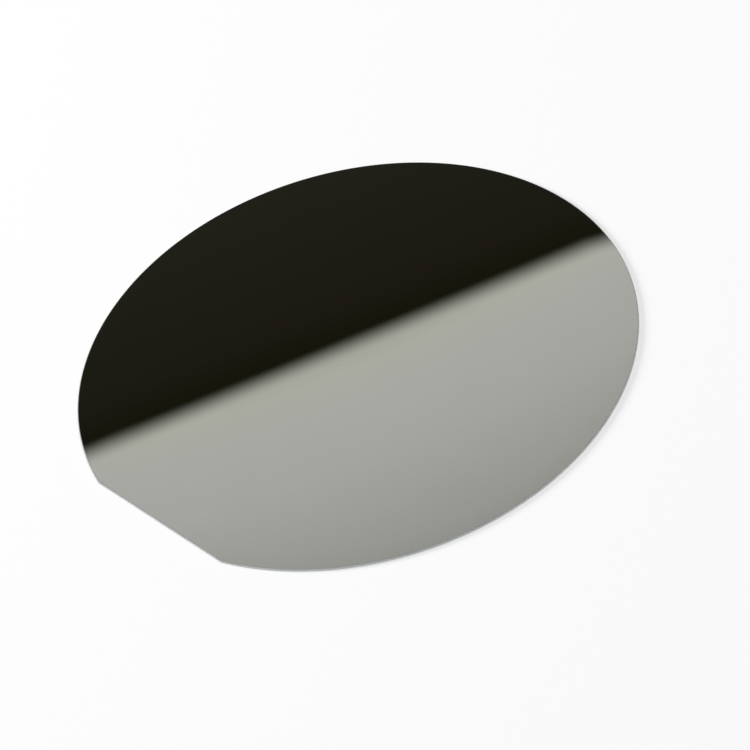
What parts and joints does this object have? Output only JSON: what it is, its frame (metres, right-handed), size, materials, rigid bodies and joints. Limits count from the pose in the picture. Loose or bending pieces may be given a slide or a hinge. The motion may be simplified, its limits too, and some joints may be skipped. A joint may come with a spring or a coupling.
{
  "type": "silicon optical window",
  "caption": "Thin round window of mirror-polished silicon with a rounded ground edge and a straight flat on its rim, for passing infrared light or as a substrate.",
  "frame": {"origin": "on the axis of the round rim, in the plane of the back face", "axes": "+Z along the axis of the disc, out of the front face; -Y out of the flat on the rim"},
  "size_m": [0.1, 0.0973, 0.0005],
  "materials": {
    "silicon": "polished on both faces, finely ground edge"
  },
  "bodies": {
    "root": {"window": "silicon"}
  },
  "joints": []
}
